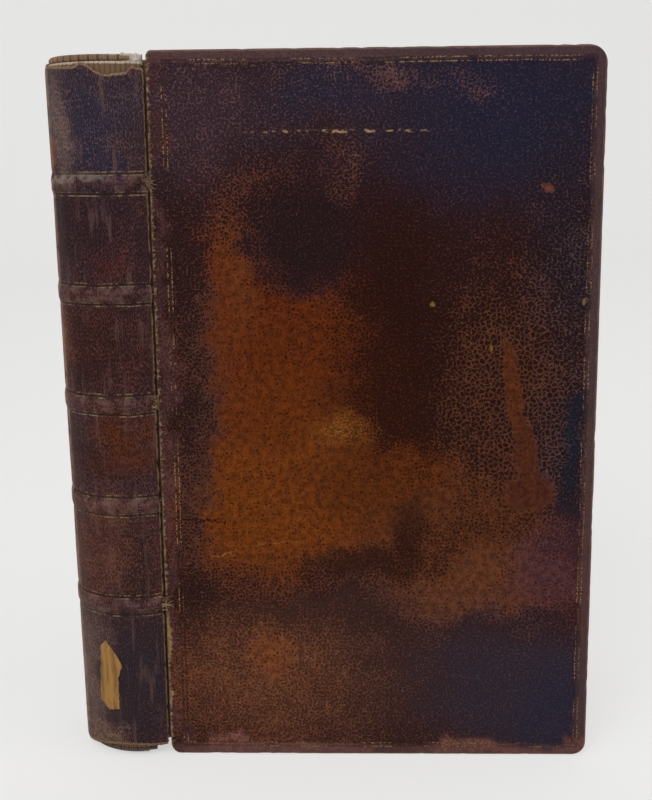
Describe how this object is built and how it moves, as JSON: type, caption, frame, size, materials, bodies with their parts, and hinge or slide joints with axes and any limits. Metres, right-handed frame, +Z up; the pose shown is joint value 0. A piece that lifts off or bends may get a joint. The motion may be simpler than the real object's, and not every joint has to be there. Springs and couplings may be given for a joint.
{
  "type": "antique leather book",
  "caption": "Old book in full calf over pasteboards with raised bands on the spine, worn at head and joints; its covers open.",
  "frame": {"origin": "centre of the base of the bounding box at rest, on the surface that the book stands on", "axes": "+X from the joints to the fore-edge, +Y from the front cover to the back cover, +Z up from tail to head"},
  "size_m": [0.143, 0.0702, 0.2],
  "materials": {
    "calf_leather": "worn, crackled, polished calf",
    "pasteboard": "matte pasted board",
    "book_paper": "aged rag paper, cut edges",
    "endpaper": "aged white paper",
    "endband_silk": "faded silk thread",
    "hemp_cord": "twisted hemp",
    "label_paper": "browned paper scrap"
  },
  "bodies": {
    "book_block": {"back_free_endpaper": "endpaper", "back_joint_cords": "hemp_cord", "back_joint_leather": "calf_leather", "front_free_endpaper": "endpaper", "front_joint_cords": "hemp_cord", "head_endband_core": "hemp_cord", "head_endband_silk": "endband_silk", "label_remnant": "label_paper", "sewing_cord_1": "hemp_cord", "sewing_cord_2": "hemp_cord", "sewing_cord_3": "hemp_cord", "sewing_cord_4": "hemp_cord", "sewing_cord_5": "hemp_cord", "spine_leather": "calf_leather", "tail_endband_core": "hemp_cord", "tail_endband_silk": "endband_silk", "text_block": "book_paper"},
    "front_cover": {"front_board": "pasteboard", "front_board_leather": "calf_leather", "front_cord_slips": "hemp_cord", "front_pastedown": "endpaper"},
    "back_cover": {"back_board": "pasteboard", "back_board_leather": "calf_leather", "back_cord_slips": "hemp_cord", "back_pastedown": "endpaper"}
  },
  "joints": [
    {"name": "front_cover_hinge", "type": "hinge", "parent": "book_block", "child": "front_cover", "pos_m": [-0.047, 0.00214, 0.1], "axis": [0, 0, -1], "range_deg": [-18, 92], "deforming": ["front_joint_cords"]},
    {"name": "back_cover_hinge", "type": "hinge", "parent": "book_block", "child": "back_cover", "pos_m": [-0.061, 0.03514, 0.1], "axis": [0, 0, 1], "range_deg": [0, 110], "deforming": ["back_joint_leather", "back_joint_cords"]}
  ]
}
